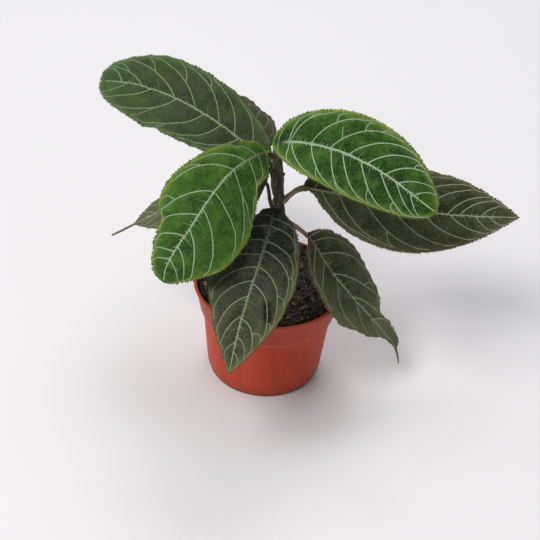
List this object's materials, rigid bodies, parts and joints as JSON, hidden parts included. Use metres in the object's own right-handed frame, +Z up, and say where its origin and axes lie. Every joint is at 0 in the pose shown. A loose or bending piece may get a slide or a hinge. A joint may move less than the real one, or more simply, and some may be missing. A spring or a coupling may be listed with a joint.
{
  "type": "potted foliage plant",
  "caption": "Foliage plant with large pale-veined, finely toothed leaves on one ridged stem, growing in soil in a tapered pot with a collared rim.",
  "frame": {"origin": "centre of the pot's flat underside", "axes": "+Z up the pot's axis; the picture looks along +Y, and the longest leaf points along +X"},
  "size_m": [0.3239, 0.2892, 0.2433],
  "materials": {
    "pot_plastic": "satin terracotta-coloured thin plastic, faintly scuffed",
    "soil": "moist dark crumbly potting mix with bark bits",
    "stem": "dark brown-green, ridged and finely hairy",
    "leaf_bright_green": "satin bright green with pale veins and a yellow-green margin",
    "leaf_grey_green": "satin dark grey-green with pale veins",
    "leaf_dark_green": "satin blackish green with pale veins",
    "leaf_olive": "satin dark olive with pale veins",
    "leaf_brown": "satin brown-olive with pale looping veins"
  },
  "bodies": {
    "root": {"pot": "pot_plastic", "soil": "soil", "stem": "stem", "leaf_upper_left": "leaf_grey_green", "leaf_front_left": "leaf_bright_green", "leaf_upper_right": "leaf_bright_green", "leaf_right": "leaf_olive", "leaf_front": "leaf_dark_green", "leaf_lower_right": "leaf_olive", "leaf_left_behind": "leaf_olive", "leaf_back": "leaf_brown"}
  },
  "joints": []
}
